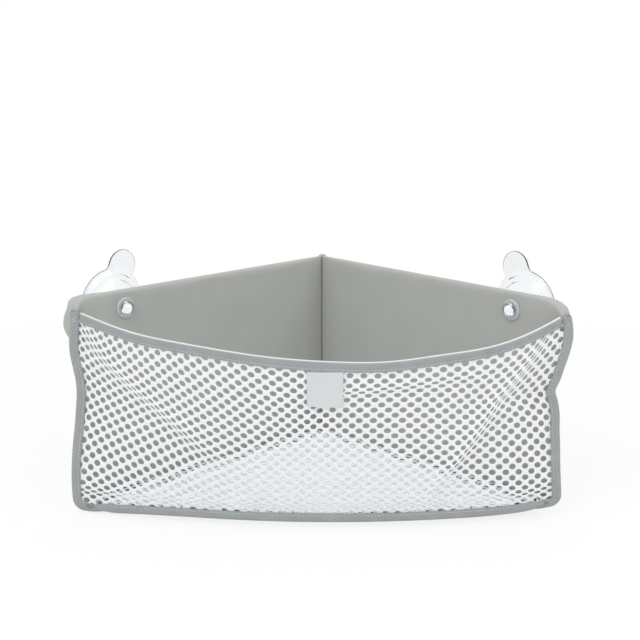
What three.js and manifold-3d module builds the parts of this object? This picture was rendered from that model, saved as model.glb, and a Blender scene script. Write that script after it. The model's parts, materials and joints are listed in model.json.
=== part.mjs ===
// A corner bath toy organizer: two padded cloth walls that meet at a right angle, a net front that
// swells between them, a net base, taped seams, a sewn label, and two clear suction cups in eyelets.
// Millimetres, +Z up, +Y towards the room corner, +X along the front. The origin is on the floor,
// under the middle of the bounding box.

import * as THREE from 'three';
import { mergeVertices } from 'three/addons/utils/BufferGeometryUtils.js';
import Module from 'manifold-3d';

const wasm = await Module();
wasm.setup();

// Bag
const seamSpan = 422; // between the two front corner seams
const wallHeight = 193.5; // floor to the folded top of a wall
const rimDrop = 12.5; // wall top down to the front rim, at the corner seams
const rimSag = 22; // further fall of the front rim at its middle
const rimSkew = 0.4; // share by which the rim sags more towards the right than at its middle
const rimBulge = 80; // reach of the front rim ahead of the corner seams
const baseBulge = 33; // reach of the base seam ahead of the corner seams
const bellyBulge = 6; // swell of the net between the base seam and the rim
const waistPull = 8; // how far the tight net draws the corner seams inwards
const waistLevel = 104; // height of the strongest pull
const waistSpread = 36; // height over which the pull fades

// Cloth, foam, net and tape
const clothThickness = 0.8;
const foamThickness = 4.5;
const netThickness = 1;
const tapeThickness = 0.8;
const tapeWidth = 8.5; // folded tape, from its fold to its lips
const seamGap = 0.3; // clearance between neighbouring pieces
const seamShort = 1.2; // a sewn edge stops short of its tape's fold by this
const bendRadius = 12; // turn of a wall into its sewn upright edge
const padRamp = 22; // length over which a sewn upright edge swells to the full pad
const footRamp = 12; // height over which the sewn bottom edge swells to the full pad
const baseTapeInset = 16; // base tape of a wall, short of the wall's bends

// Net pattern
const netColumns = 18;
const netRows = 8;
const netOpen = 0.66; // share of a cell's width that is open
const netSelvage = 9; // plain net beside the corner seams
const foldDepth = 5; // height of the two slanting tension folds
const foldSpread = 0.1; // half width of a fold, as a share of the net's half width
const basePitch = 29; // between hole centres of the base net
const baseHoleRadius = 9;
const baseSelvage = 8; // plain net around the holes of the base

// Label
const labelWidth = 29.5;
const labelLength = 28.5;
const labelShift = 9; // middle of the label, right of the middle of the bag
const labelThickness = 0.8;
const labelGap = 1; // below the lip of the rim tape, along the net

// Suction cups and eyelets
const cupInset = 44; // cup axis from the front bend of the wall
const cupDrop = 16.5; // cup axis below the wall top
const cupRadius = 33;
const cupDepth = 8.4; // lip plane ahead of the cup's hollow
const cupSkin = 2.2;
const lipWidth = 4; // flat sealing ring
const hubRadius = 9.5;
const neckRadius = 4.2;
const knobRadius = 6.6;
const knobLength = 4;
const tabReach = 18; // tab beyond the lip
const tabWidth = 28;
const tabThickness = 2;
const tabLean = 19; // degrees, tab towards the room corner
const eyeletRadius = 9.5;
const eyeletPlate = 1.5;
const eyeletSleeve = 1; // wall of the eyelet's sleeve

const halfSpan = seamSpan / 2;
const padThickness = foamThickness + 2 * (clothThickness + seamGap);
const edgeThickness = 2 * clothThickness + seamGap; // sewn edge of a wall
const seamFoot = tapeThickness + seamShort;
const tapeReach = tapeWidth - seamFoot;
const cornerDip = rimDrop + seamShort; // fall of a wall's top to the end of its corner tape
const slotFor = (...layers) => layers.reduce((sum, layer) => sum + layer + seamGap, seamGap);
const rimSlot = slotFor(netThickness);
const cornerSlot = slotFor(netThickness, edgeThickness);
const rearSlot = slotFor(edgeThickness, edgeThickness);
const frontBaseSlot = slotFor(netThickness, netThickness);
const sideBaseSlot = slotFor(edgeThickness, netThickness);
const netY = (netThickness - cornerSlot) / 2 + seamGap;
const edgeY = (cornerSlot - edgeThickness) / 2 - seamGap;
const edgeX = (edgeThickness + seamGap) / 2;

const smooth = (t) => THREE.MathUtils.smoothstep(t, 0, 1);
const waist = (z) => waistPull * Math.exp(-(((z - waistLevel) / waistSpread) ** 2));
const waistSteps = [-1.5, -1, -0.5, 0, 0.5, 1].map((step) => waistLevel + step * waistSpread);
const rimTop = (xi) =>
  wallHeight - rimDrop - rimSag * (1 - Math.min(xi * xi, 1)) * (1 + rimSkew * xi);

// Plan of the left wall's middle plane: front edge, front bend, straight run, rear bend, rear edge
const along = new THREE.Vector2(Math.SQRT1_2, Math.SQRT1_2);
const outward = new THREE.Vector2(-Math.SQRT1_2, Math.SQRT1_2);
const bendTangent = bendRadius * Math.tan(Math.PI / 8);
const frontBend = new THREE.Vector2(-halfSpan + bendTangent + seamGap, edgeY);
const straightRun = (-edgeX - frontBend.x) / along.x;
const rearBend = frontBend.clone().addScaledVector(along, straightRun);
const rearLip = rearBend.y + bendTangent + seamGap;
const onWall = (distance, out = 0) =>
  frontBend.clone().addScaledVector(along, distance).addScaledVector(outward, out);

// Closed solid from corner positions and triangles, turned to face outwards
function closedSolid(points, triangles) {
  const corner = (i) => points[i];
  const volume = triangles.reduce(
    (sum, [a, b, c]) => sum + corner(a).dot(corner(b).clone().cross(corner(c))),
    0,
  );
  const index = triangles.flatMap(([a, b, c]) => (volume > 0 ? [a, b, c] : [a, c, b]));
  const geometry = new THREE.BufferGeometry().setFromPoints(points);
  geometry.setIndex(index);
  geometry.computeVertexNormals();
  return geometry;
}

// Solid through equal rings of points, closed at both ends by the triangles of the cap
function loft(rings, cap) {
  const count = rings[0].length;
  const last = (rings.length - 1) * count;
  const triangles = [];
  for (let r = 0; r + 1 < rings.length; r += 1) {
    for (let i = 0; i < count; i += 1) {
      const a = r * count + i;
      const b = r * count + ((i + 1) % count);
      triangles.push([a, b, b + count], [a, b + count, a + count]);
    }
  }
  for (const [a, b, c] of cap) {
    triangles.push([a, c, b], [last + a, last + b, last + c]);
  }
  return closedSolid(rings.flat(), triangles);
}

// Cap of a ring that runs out along one face of a skin and back along the other
function skinCap(count) {
  const triangles = [];
  for (let i = 0; i + 1 < count / 2; i += 1) {
    const back = count - 1 - i;
    triangles.push([i, i + 1, back - 1], [i, back - 1, back]);
  }
  return triangles;
}

// Sheet of even thickness on a middle surface of {point, normal}; open edges get side walls
function thickSheet(surface, faces, thickness) {
  const points = surface.flatMap(({ point, normal }) => [
    point.clone().addScaledVector(normal, thickness / 2),
    point.clone().addScaledVector(normal, -thickness / 2),
  ]);
  const triangles = [];
  const directed = new Set(faces.flatMap(([a, b, c]) => [`${a},${b}`, `${b},${c}`, `${c},${a}`]));
  for (const face of faces) {
    const [a, b, c] = face.map((i) => 2 * i);
    triangles.push([a, b, c], [a + 1, c + 1, b + 1]);
  }
  for (const edge of directed) {
    const [a, b] = edge.split(',').map(Number);
    if (!directed.has(`${b},${a}`)) {
      triangles.push([2 * a, 2 * a + 1, 2 * b + 1], [2 * a, 2 * b + 1, 2 * b]);
    }
  }
  return closedSolid(points, triangles);
}

function solidOf(geometry) {
  const bare = new THREE.BufferGeometry();
  bare.setAttribute('position', geometry.getAttribute('position').clone());
  bare.setIndex(geometry.getIndex());
  const merged = mergeVertices(bare, 1e-4);
  const vertProperties = new Float32Array(merged.getAttribute('position').array);
  const triVerts = new Uint32Array(merged.getIndex().array);
  return new wasm.Manifold(new wasm.Mesh({ numProp: 3, vertProperties, triVerts }));
}

function geometryOf(solid) {
  const { vertProperties, triVerts } = solid.getMesh();
  const geometry = new THREE.BufferGeometry();
  geometry.setAttribute('position', new THREE.BufferAttribute(vertProperties, 3));
  geometry.setIndex(new THREE.BufferAttribute(triVerts, 1));
  geometry.computeVertexNormals();
  return geometry;
}

// Tape folded over a seam: p across the seam, q from the fold to the lips
function tapeOutline(slot) {
  const half = slot / 2 + tapeThickness;
  const inner = slot / 2;
  const round = tapeThickness;
  return [
    [-half, tapeWidth],
    [-half, round],
    [round - half, 0],
    [half - round, 0],
    [half, round],
    [half, tapeWidth],
    [inner, tapeWidth],
    [inner, round + seamGap],
    [inner - seamGap, round],
    [seamGap - inner, round],
    [-inner, round + seamGap],
    [-inner, tapeWidth],
  ].map(([p, q]) => new THREE.Vector2(p, q));
}

function tapeAlong(slot, stations, place) {
  const outline = tapeOutline(slot);
  const rings = stations.map((station) => outline.map(({ x, y }) => place(station, x, y)));
  return loft(rings, skinCap(outline.length));
}

// Stations of the left wall from its front edge to its rear edge, with the share of full padding
function wallStations() {
  const turn = (bend, before, after) =>
    new THREE.QuadraticBezierCurve(
      bend.clone().addScaledVector(before, -bendTangent),
      bend,
      bend.clone().addScaledVector(after, bendTangent),
    ).getPoints(3);
  const ramp = [0.3, 0.65, 1].map((share) => bendTangent + share * padRamp);
  const plan = [
    new THREE.Vector2(-halfSpan - tapeReach, edgeY),
    ...turn(frontBend, new THREE.Vector2(1, 0), along),
    ...ramp.map((d) => onWall(d)),
    ...ramp.reverse().map((d) => onWall(straightRun - d)),
    ...turn(rearBend, along, new THREE.Vector2(0, 1)),
    new THREE.Vector2(-edgeX, rearLip + tapeReach),
  ];
  const reach = [0];
  plan.slice(1).forEach((p, i) => reach.push(reach[i] + p.distanceTo(plan[i])));
  const total = reach.at(-1);
  const plain = reach[1];
  const ramped = reach[7] - plain;
  return plan.map((p, i) => {
    const ahead = (plan[i + 1] ?? p).clone().sub(plan[i - 1] ?? p).normalize();
    const fromEdge = Math.min(reach[i], total - reach[i]) - plain;
    return {
      p,
      side: new THREE.Vector2(-ahead.y, ahead.x),
      fullness: smooth(fromEdge / ramped),
      pull: 1 - smooth((reach[i] - plain) / ramped),
    };
  });
}

// Upright section of a wall cover: cloth folded over the top, open at the sewn bottom edge
function coverOutline(fullness, crest) {
  const top = THREE.MathUtils.lerp(edgeThickness, padThickness, fullness) / 2;
  const foot = tapeWidth + seamGap;
  const levels = [seamFoot, foot, foot + footRamp / 2, foot + footRamp, ...waistSteps];
  const side = (skin) =>
    levels
      .map((z) => {
        const swell = smooth((z - foot) / footRamp);
        const half = THREE.MathUtils.lerp(edgeThickness / 2, top, swell);
        return new THREE.Vector2(half - skin, z);
      })
      .concat(
        [0, 30, 60].map((degrees) => {
          const angle = THREE.MathUtils.degToRad(degrees);
          const radius = top - skin;
          return new THREE.Vector2(radius * Math.cos(angle), crest - top + radius * Math.sin(angle));
        }),
      );
  const arch = (skin) => {
    const right = side(skin);
    const left = right.map(({ x, y }) => new THREE.Vector2(-x, y)).reverse();
    return [...right, new THREE.Vector2(0, crest - skin), ...left];
  };
  return [...arch(0), ...arch(clothThickness).reverse()];
}

function eyeletBore(radius) {
  const bore = new THREE.CylinderGeometry(radius, radius, 4 * padThickness, 24);
  return solidOf(bore.applyMatrix4(cupMatrix));
}

// Cup frame: X up along the tab, Y out of the wall, Z across
const cupUp = new THREE.Vector3(0, 0, 1);
const cupOut = new THREE.Vector3(outward.x, outward.y, 0);
const cupPlace = onWall(cupInset);
const cupMatrix = new THREE.Matrix4()
  .makeBasis(cupUp, cupOut, new THREE.Vector3().crossVectors(cupUp, cupOut))
  .setPosition(cupPlace.x, cupPlace.y, wallHeight - cupDrop);
const sleeveBore = neckRadius + seamGap;
const sleeveRadius = sleeveBore + eyeletSleeve;
const clothBore = sleeveRadius + seamGap;
const plateInside = padThickness / 2 + seamGap;
const plateOutside = plateInside + eyeletPlate;

function wallCover() {
  const rings = wallStations().map(({ p, side, fullness, pull }) =>
    coverOutline(fullness, wallHeight - cornerDip * pull ** 2).map(
      ({ x, y }) => new THREE.Vector3(p.x + side.x * x + pull * waist(y), p.y + side.y * x, y),
    ),
  );
  const cover = solidOf(loft(rings, skinCap(rings[0].length)));
  return geometryOf(cover.subtract(eyeletBore(clothBore)));
}

function wallStiffener() {
  const start = bendTangent + padRamp + seamGap;
  const foot = tapeWidth + footRamp + 2 * seamGap;
  const radius = foamThickness / 2;
  const crown = wallHeight - padThickness / 2;
  const shape = new THREE.Shape();
  shape.moveTo(-radius, foot);
  shape.lineTo(radius, foot);
  shape.lineTo(radius, crown);
  shape.absarc(0, crown, radius, 0, Math.PI, false);
  const board = new THREE.ExtrudeGeometry(shape, {
    depth: straightRun - 2 * start,
    curveSegments: 6,
    bevelEnabled: false,
  });
  const corner = onWall(start);
  const frame = new THREE.Matrix4()
    .makeBasis(cupOut, cupUp, new THREE.Vector3(along.x, along.y, 0))
    .setPosition(corner.x, corner.y, 0);
  return geometryOf(solidOf(board.applyMatrix4(frame)).subtract(eyeletBore(clothBore)));
}

function sideBaseTape() {
  const inside = -(netThickness + seamGap) / 2;
  return tapeAlong(sideBaseSlot, [baseTapeInset, straightRun - baseTapeInset], (d, p, q) => {
    const at = onWall(d, inside + p);
    return new THREE.Vector3(at.x, at.y, q);
  });
}

function cornerTape() {
  const top = rimTop(1);
  const heights = [0, tapeWidth + footRamp, ...waistSteps, top];
  const fold = -halfSpan - tapeWidth;
  return tapeAlong(cornerSlot, heights, (z, p, q) => new THREE.Vector3(fold + q + waist(z), p, z));
}

function rearTape() {
  const fold = rearLip + tapeWidth;
  return tapeAlong(rearSlot, [0, wallHeight - seamShort], (z, p, q) => new THREE.Vector3(p, fold - q, z));
}

// Middle surface of the front net. xi runs from -1 to 1 between the corner tapes and on to +-2 inside
// them; s runs from 0 to 1 between the base tape and the rim tape, and on to -1 and 2 inside them.
const netStep = 2 * seamGap; // plain net shown beside a tape's lips
function fold(xi, v) {
  const ridge = (offset, strength) => strength * Math.exp(-((offset / foldSpread) ** 2));
  const right = ridge(xi - 0.42 - 0.5 * v, 1);
  const left = ridge(xi + 0.98 - 0.5 * (1 - v), 0.7);
  return foldDepth * (right + left) * smooth(4 * v) * smooth(4 * (1 - v)) * smooth(4 * (1 - Math.abs(xi)));
}
function netPoint(xi, s) {
  const low = tapeWidth + netStep;
  const high = rimTop(xi) - tapeWidth - netStep;
  const v = THREE.MathUtils.clamp(s, 0, 1);
  let z = THREE.MathUtils.lerp(low, high, v);
  z += Math.min(s, 0) * (low - seamFoot);
  z += Math.max(s - 1, 0) * (rimTop(xi) - seamFoot - high);
  const free = halfSpan - netStep - waist(z);
  const inside = Math.max(Math.abs(xi) - 1, 0) * (tapeReach + netStep);
  const arch = Math.max(1 - xi * xi, 0);
  const bulge = THREE.MathUtils.lerp(baseBulge, rimBulge, v) + bellyBulge * 4 * v * (1 - v);
  const x = THREE.MathUtils.clamp(xi, -1, 1) * free + Math.sign(xi) * inside;
  return new THREE.Vector3(x, netY - bulge * arch - fold(xi, v), z);
}
function netSurface(xi, s) {
  const step = 0.01;
  const across = netPoint(xi + step, s).sub(netPoint(xi - step, s));
  const upward = netPoint(xi, s + step).sub(netPoint(xi, s - step));
  return { point: netPoint(xi, s), normal: across.cross(upward).normalize() };
}

// Front net: rows of six-sided holes set half a cell apart, inside a plain selvage
function frontNet() {
  const edge = 1 - netSelvage / halfSpan;
  const lattice = 2 * netColumns;
  const columns = [-2, -1];
  for (let k = 0; k <= lattice; k += 1) {
    columns.push(edge * ((2 * k) / lattice - 1));
  }
  columns.push(1, 2);
  const rowHeight = 0.9 / netRows;
  const level = (k, line) => {
    const row = line - 2;
    if (row < 0 || row > netRows) {
      return row < 0 ? row + 1 : row - netRows;
    }
    const inner = row > 0 && row < netRows && k >= 2 && k <= lattice + 2;
    const zigzag = (row + k) % 2 === 0 ? rowHeight / 6 : -rowHeight / 6;
    return 0.05 + rowHeight * row + (inner ? zigzag : 0);
  };
  const surface = [];
  const faces = [];
  const add = (xi, s) => surface.push(netSurface(xi, s)) - 1;
  const rowsOf = Array.from({ length: netRows + 5 }, (_, line) =>
    columns.map((xi, k) => add(xi, level(k, line))),
  );
  const quad = (a, b, c, d) => faces.push([a, b, c], [a, c, d]);
  for (let line = 0; line + 1 < rowsOf.length; line += 1) {
    const low = rowsOf[line];
    const high = rowsOf[line + 1];
    const row = line - 2;
    const open = row >= 0 && row < netRows;
    const first = open ? 2 + (row % 2) : columns.length;
    const end = lattice + 2 - (row % 2);
    for (let k = 0; k + 1 < columns.length; k += 1) {
      if (!open || k < first || k >= end) {
        quad(low[k], low[k + 1], high[k + 1], high[k]);
      } else if ((k - first) % 2 === 0) {
        const cell = [low[k], low[k + 1], low[k + 2], high[k + 2], high[k + 1], high[k]];
        const corners = [
          [k, line], [k + 1, line], [k + 2, line], [k + 2, line + 1], [k + 1, line + 1], [k, line + 1],
        ].map(([c, l]) => new THREE.Vector2(columns[c], level(c, l)));
        const centre = corners.reduce((sum, p) => sum.add(p), new THREE.Vector2()).divideScalar(6);
        const hole = corners.map((p) => {
          const at = p.clone().sub(centre).multiplyScalar(netOpen).add(centre);
          return add(at.x, at.y);
        });
        cell.forEach((a, i) => quad(a, cell[(i + 1) % 6], hole[(i + 1) % 6], hole[i]));
      }
    }
  }
  return thickSheet(surface, faces, netThickness);
}

// Point on the front base seam, inset towards the bag from the net's middle surface
function baseSeam(xi, inset) {
  const { point, normal } = netSurface(xi, -0.5);
  return new THREE.Vector2(point.x - normal.x * inset, point.y - normal.y * inset);
}

const evenly = (count, from, to) =>
  Array.from({ length: count + 1 }, (_, i) => THREE.MathUtils.lerp(from, to, i / count));

const baseTapeReach = 1 - tapeWidth / halfSpan;
function frontBaseTape() {
  const centre = (netThickness + seamGap) / 2;
  return tapeAlong(frontBaseSlot, evenly(16, -baseTapeReach, baseTapeReach), (xi, p, q) => {
    const at = baseSeam(xi, centre + p);
    return new THREE.Vector3(at.x, at.y, q);
  });
}

function rimTape() {
  const reach = 1 - 3 / halfSpan;
  return tapeAlong(rimSlot, evenly(20, -reach, reach), (xi, p, q) => {
    const { point } = netSurface(xi, 1.5);
    const tangent = netPoint(xi + 0.01, 1.5).sub(netPoint(xi - 0.01, 1.5)).setZ(0).normalize();
    return new THREE.Vector3(point.x + tangent.y * p, point.y - tangent.x * p, rimTop(xi) - q);
  });
}

// Base net: a holed plate above the tapes' lips, with skirts that go down into the tapes
function baseNet() {
  const level = tapeWidth + seamGap;
  const frontRun = evenly(16, -baseTapeReach, baseTapeReach);
  const wallRun = [straightRun - baseTapeInset, baseTapeInset];
  const onFront = (xi, inset) => baseSeam(xi, netThickness / 2 + seamGap + inset);
  const onSide = (d, inset) => onWall(d, -edgeThickness / 2 - seamGap - inset);
  const wall = wallRun.map((d) => onSide(d, 0));
  const right = wall.map(({ x, y }) => new THREE.Vector2(-x, y)).reverse();
  const plate = new THREE.Shape([...frontRun.map((xi) => onFront(xi, 0)), ...right, ...wall]);
  const rows = Math.ceil(seamSpan / basePitch);
  for (let j = -rows; j <= rows; j += 1) {
    for (let i = -rows; i <= rows; i += 1) {
      const x = (i + (j % 2) / 2) * basePitch;
      const y = j * basePitch * Math.sin(Math.PI / 3);
      const clear = baseHoleRadius + baseSelvage;
      const wallClear = (rearBend.y - y - Math.abs(x)) * Math.SQRT1_2 - padThickness / 2;
      const frontClear = y - baseSeam(x / halfSpan, 0).y;
      if (Math.min(wallClear, frontClear) > clear && Math.abs(x) < halfSpan - 2 * clear) {
        const hole = evenly(5, Math.PI / 2, (-7 * Math.PI) / 6).map(
          (a) => new THREE.Vector2(x + baseHoleRadius * Math.cos(a), y + baseHoleRadius * Math.sin(a)),
        );
        plate.holes.push(new THREE.Path(hole));
      }
    }
  }
  const skirt = (stations, place) => {
    const rings = stations.map((station) =>
      [
        [0, seamFoot],
        [0, level + netThickness],
        [netThickness, level + netThickness],
        [netThickness, seamFoot],
      ].map(([inset, z]) => {
        const at = place(station, inset);
        return new THREE.Vector3(at.x, at.y, z);
      }),
    );
    return solidOf(loft(rings, skinCap(4)));
  };
  const mirrored = (place) => (station, inset) => {
    const at = place(station, inset);
    return new THREE.Vector2(-at.x, at.y);
  };
  const top = new THREE.ExtrudeGeometry(plate, { depth: netThickness, bevelEnabled: false });
  const net = solidOf(top.translate(0, 0, level))
    .add(skirt(frontRun, onFront))
    .add(skirt(wallRun, onSide))
    .add(skirt(wallRun, mirrored(onSide)));
  return geometryOf(net);
}

// Label: a strip that lies on the net below the rim tape, sewn along its top edge
const labelXi = labelShift / halfSpan;
const labelTop = rimTop(labelXi) - tapeWidth - labelGap;
function label() {
  const half = labelWidth / 2;
  const outline = [
    [-half, labelThickness],
    [-half, 0],
    [half, 0],
    [half, labelThickness],
  ].map(([p, q]) => new THREE.Vector2(labelShift + p, q));
  const low = tapeWidth + netStep;
  const high = rimTop(labelXi) - tapeWidth - netStep;
  const lift = netThickness / 2 + seamGap;
  const rings = evenly(6, 0, labelLength).map((drop) => {
    const { point, normal } = netSurface(labelXi, (labelTop - drop - low) / (high - low));
    return outline.map(
      ({ x, y }) => new THREE.Vector3(x, point.y + normal.y * (lift + y), point.z + normal.z * (lift + y)),
    );
  });
  return loft(rings, skinCap(outline.length));
}

const turned = (profile) =>
  new THREE.LatheGeometry(
    profile.map(([radius, axial]) => new THREE.Vector2(radius, axial)),
    28,
  );

// Eyelet: a plate on the inner face and a sleeve through the wall
function eyelet() {
  return turned([
    [sleeveBore, -plateOutside],
    [eyeletRadius - eyeletPlate / 2, -plateOutside],
    [eyeletRadius, -plateOutside + eyeletPlate / 2],
    [eyeletRadius, -plateInside],
    [sleeveRadius, -plateInside],
    [sleeveRadius, plateOutside],
    [sleeveBore, plateOutside],
    [sleeveBore, -plateOutside],
  ]);
}

function eyeletWasher() {
  return turned([
    [clothBore, plateInside],
    [eyeletRadius, plateInside],
    [eyeletRadius, plateOutside - eyeletPlate / 2],
    [eyeletRadius - eyeletPlate / 2, plateOutside],
    [clothBore, plateOutside],
    [clothBore, plateInside],
  ]);
}

// Suction cup: knob inside the bag, neck through the eyelet, dome and flat lip outside, round tab
const cupShoulder = plateOutside + seamGap;
const cupHollow = cupShoulder + 1.7 * cupSkin;
const lipPlane = cupHollow + cupDepth;
function suctionCup() {
  const knobFace = -plateOutside - seamGap;
  const bell = (share, depth) => [
    THREE.MathUtils.lerp(hubRadius, cupRadius - lipWidth, share),
    cupHollow + cupDepth * share ** 2 + depth,
  ];
  const cup = turned([
    [0, knobFace - knobLength],
    [knobRadius - 1.2, knobFace - knobLength],
    [knobRadius, knobFace - knobLength + 1.2],
    [knobRadius, knobFace - 0.8],
    [knobRadius - 0.8, knobFace],
    [neckRadius, knobFace],
    [neckRadius, cupShoulder],
    [hubRadius, cupShoulder],
    bell(0.1, -cupSkin),
    bell(0.4, -cupSkin),
    bell(0.7, -cupSkin),
    bell(0.9, -cupSkin),
    [cupRadius, lipPlane - cupSkin / 2],
    [cupRadius, lipPlane],
    [cupRadius - lipWidth, lipPlane],
    bell(0.85, 0),
    bell(0.6, 0),
    bell(0.3, 0),
    bell(0, 0),
    [0, cupHollow],
  ]);
  const shape = new THREE.Shape();
  const root = cupRadius - 2 * lipWidth;
  const round = tabWidth / 2;
  const tip = cupRadius + tabReach - round;
  shape.moveTo(root, -round);
  shape.lineTo(tip, -round);
  shape.absarc(tip, 0, round, -Math.PI / 2, Math.PI / 2, false);
  shape.lineTo(root, round);
  const tab = new THREE.ExtrudeGeometry(shape, {
    depth: tabThickness,
    curveSegments: 12,
    bevelEnabled: false,
  });
  tab.rotateX(-Math.PI / 2).translate(0, lipPlane - seamGap - tabThickness, 0);
  const leaned = tab.rotateY(THREE.MathUtils.degToRad(tabLean));
  const hollow = turned([
    [0, cupHollow],
    bell(0, 0),
    bell(0.3, 0),
    bell(0.6, 0),
    bell(0.85, 0),
    [cupRadius - lipWidth, lipPlane],
    [cupRadius - lipWidth, lipPlane + tabThickness],
    [0, lipPlane + tabThickness],
  ]);
  return geometryOf(solidOf(cup).add(solidOf(leaned).subtract(solidOf(hollow))));
}

const finish = (color, roughness) => new THREE.MeshStandardMaterial({ color, roughness, metalness: 0 });
function piece(name, geometry, color, roughness) {
  const mesh = new THREE.Mesh(geometry, finish(color, roughness));
  mesh.name = name;
  return mesh;
}

const wallGrey = 0xb3b4b0;
const tapeGrey = 0x9ea2a3;
const netWhite = 0xf5f6f6;
const clearVinyl = 0xe9eef0;
const plasticGrey = 0xc3c6c7;

function sidePieces(side) {
  const half = new THREE.Group();
  const onCup = new THREE.Group();
  onCup.applyMatrix4(cupMatrix);
  onCup.add(
    piece(`${side}_suction_cup`, suctionCup(), clearVinyl, 0.2),
    piece(`${side}_eyelet`, eyelet(), plasticGrey, 0.4),
    piece(`${side}_eyelet_washer`, eyeletWasher(), plasticGrey, 0.4),
  );
  half.add(
    piece(`${side}_wall_cover`, wallCover(), wallGrey, 0.95),
    piece(`${side}_wall_stiffener`, wallStiffener(), 0xd9d8d2, 0.9),
    piece(`${side}_corner_binding`, cornerTape(), tapeGrey, 0.9),
    piece(`${side}_base_binding`, sideBaseTape(), tapeGrey, 0.9),
    onCup,
  );
  return half;
}

const bag = new THREE.Group();
const leftHalf = sidePieces('left');
const rightHalf = sidePieces('right');
rightHalf.scale.x = -1;
bag.add(
  leftHalf,
  rightHalf,
  piece('rear_corner_binding', rearTape(), tapeGrey, 0.9),
  piece('front_net', frontNet(), netWhite, 0.9),
  piece('base_net', baseNet(), netWhite, 0.9),
  piece('front_rim_binding', rimTape(), tapeGrey, 0.9),
  piece('front_base_binding', frontBaseTape(), tapeGrey, 0.9),
  piece('front_label', label(), 0xc6cacb, 0.7),
);
const extent = new THREE.Box3().setFromObject(bag, true);
bag.position.y = -(extent.min.y + extent.max.y) / 2;

const organizer = new THREE.Group();
organizer.add(bag);

export default organizer;
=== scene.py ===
import json
import math

import bmesh
import bpy
import numpy as np
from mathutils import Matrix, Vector


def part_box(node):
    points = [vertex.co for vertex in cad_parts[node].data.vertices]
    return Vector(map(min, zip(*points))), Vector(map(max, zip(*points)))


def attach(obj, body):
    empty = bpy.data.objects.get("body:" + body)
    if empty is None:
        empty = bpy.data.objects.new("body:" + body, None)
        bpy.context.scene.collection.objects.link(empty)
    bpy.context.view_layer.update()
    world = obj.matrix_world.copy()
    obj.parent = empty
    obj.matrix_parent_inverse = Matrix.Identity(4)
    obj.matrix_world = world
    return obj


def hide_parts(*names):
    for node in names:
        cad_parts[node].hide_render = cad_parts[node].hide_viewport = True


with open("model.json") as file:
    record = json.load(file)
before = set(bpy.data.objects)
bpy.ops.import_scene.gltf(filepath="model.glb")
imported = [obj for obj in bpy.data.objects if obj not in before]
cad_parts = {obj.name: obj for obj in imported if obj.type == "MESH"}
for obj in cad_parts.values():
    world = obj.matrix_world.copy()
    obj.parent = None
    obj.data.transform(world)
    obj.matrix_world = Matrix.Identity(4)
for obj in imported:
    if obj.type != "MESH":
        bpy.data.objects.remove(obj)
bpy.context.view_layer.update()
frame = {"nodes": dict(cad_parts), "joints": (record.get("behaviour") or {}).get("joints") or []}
scene = bpy.context.scene
mm = 0.001  # shapes are worked out in millimetres, meshes are in metres


def cadBox(node):  # lowest and highest corner of a solid, in millimetres
    return [np.array(corner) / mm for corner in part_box(node)]


def smooth(t):  # 3 t^2 - 2 t^3 between 0 and 1
    t = np.clip(t, 0, 1)
    return t * t * (3 - 2 * t)


def ramp(value, start, length):  # smooth climb from 0 to 1 over a length
    return smooth((value - start) / length)


def hump(t):  # bell curve exp(-t^2)
    return np.exp(-(t**2))


def humps(at, rows):  # sum of size exp(-((at - middle) / spread)^2)
    return sum(size * hump((at - middle) / spread) for size, middle, spread in rows)


def mix(a, b, t):
    return a + (b - a) * t


def unit(vectors):
    return vectors / np.linalg.norm(vectors, axis=-1, keepdims=True)


def pathReach(points):  # length walked along a row of points
    steps = np.linalg.norm(np.diff(points, axis=0), axis=1)
    return join([0], np.cumsum(steps))


def resample(reach, values, at):  # each column of values, read at other lengths
    return columns(*(np.interp(at, reach, column) for column in values.T))


def join(*parts, axis=0):
    return np.concatenate(parts, axis)


def thereAndBack(row):
    return join(row, row[::-1])


def columns(*parts):  # arrays of one shape, side by side along a last axis
    return np.stack(np.broadcast_arrays(*parts), -1)


cornerBox = cadBox("left_corner_binding")
foldX = -cornerBox[0][0]  # fold of a corner tape

# Form of the bag, in the solids' own frame
bag = dict(
    seamY=(cornerBox[0][1] + cornerBox[1][1]) / 2,  # line through both front corner seams
    wallTop=cadBox("left_wall_cover")[1][2],
    rimTop=cornerBox[1][2],  # front rim at the corner seams
    rimSag=22,
    rimSkew=0.4,  # the rim hangs lowest a little right of its middle
    tapeWidth=cadBox("front_base_binding")[1][2],  # folded tape, fold to lips
    tapeThickness=0.8, netThickness=1.0, clearance=0.3,
    edgeHalf=0.95,  # half of a wall's sewn edge
    seamFoot=2.0,  # a sewn edge stops short of its tape's fold
    sewnIn=6,  # flat cloth of a net inside each tape
    cornerTurn=12,  # round end of the corner tapes, which the feet of the walls follow
    lipGap=0.6,  # plain net beside a tape's lips
    rimBulge=80, baseBulge=33,
    belly=6,  # swell of the net between base and rim
    waist=((8, 104, 36),),  # the tight net draws the corner seams in: size, level, spread
    topLean=4,  # the ends of the corner tapes lean in under the padded wall ends
    topLeanFrom=138,
)

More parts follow.
